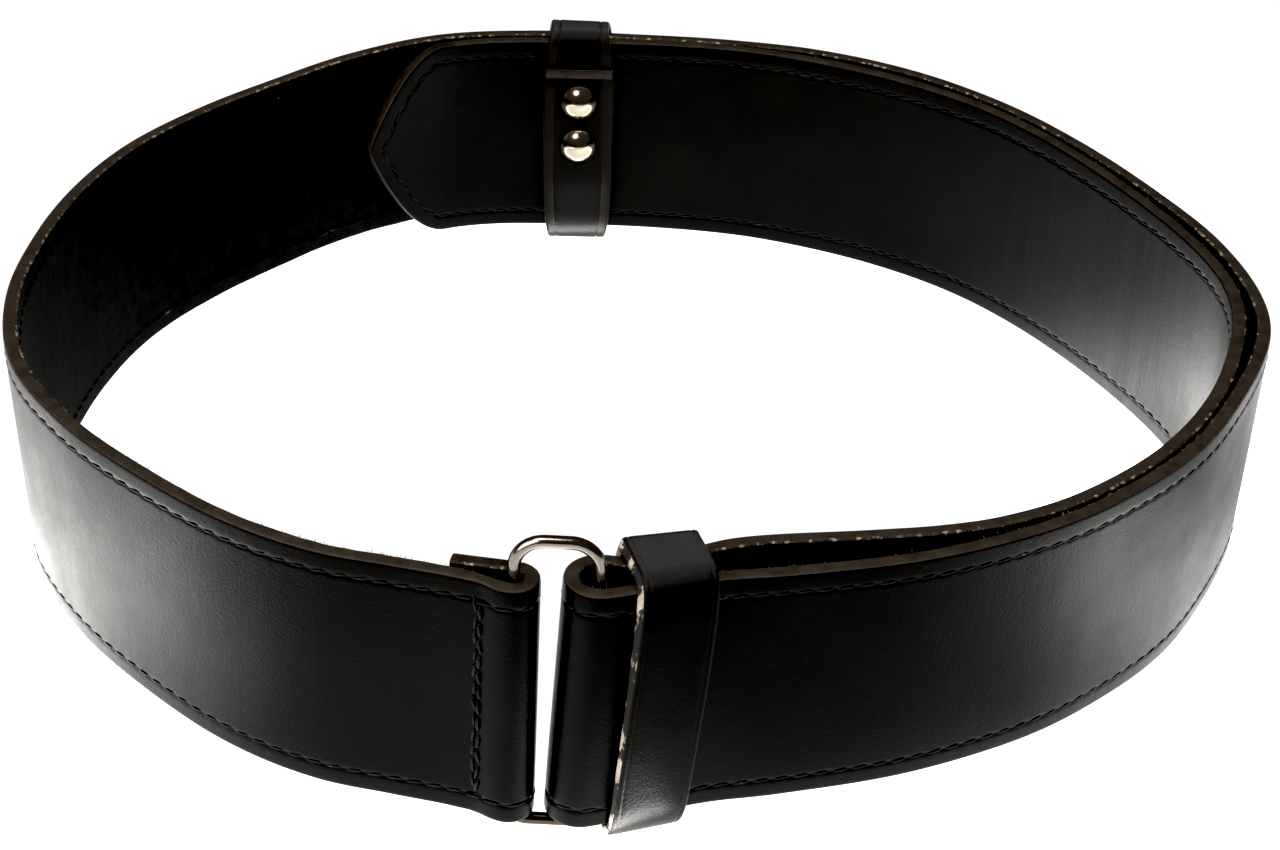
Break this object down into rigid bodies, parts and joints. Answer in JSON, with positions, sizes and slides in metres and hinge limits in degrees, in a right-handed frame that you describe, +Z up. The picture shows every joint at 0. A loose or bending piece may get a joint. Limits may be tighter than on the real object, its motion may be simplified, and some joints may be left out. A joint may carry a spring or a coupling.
{
  "type": "kilt belt",
  "caption": "Wide black leather kilt belt closed into a standing loop, its ends folded round a nickel wire ring, with leather keepers, domed studs and a pointed tip.",
  "frame": {"origin": "on the surface that the belt stands on, under the middle of its bounding box", "axes": "+X to the right across the loop, as seen from the ring; +Y from the ring to the back of the loop; +Z up along the strap's width"},
  "size_m": [0.2934, 0.2726, 0.0705],
  "materials": {
    "strap_leather": "smooth black grain outside with a satin sheen, matt black suede inside, brown-grey burnished edges, black stitching along both edges",
    "keeper_leather": "smooth black grain with creased margins and a patchy raw edge",
    "nickel": "polished nickel plate"
  },
  "bodies": {
    "root": {"strap": "strap_leather", "ring": "nickel", "keeper_front": "keeper_leather", "keeper_back": "keeper_leather", "stud_front_upper": "nickel", "stud_front_lower": "nickel", "stud_back_upper": "nickel", "stud_back_lower": "nickel"}
  },
  "joints": []
}
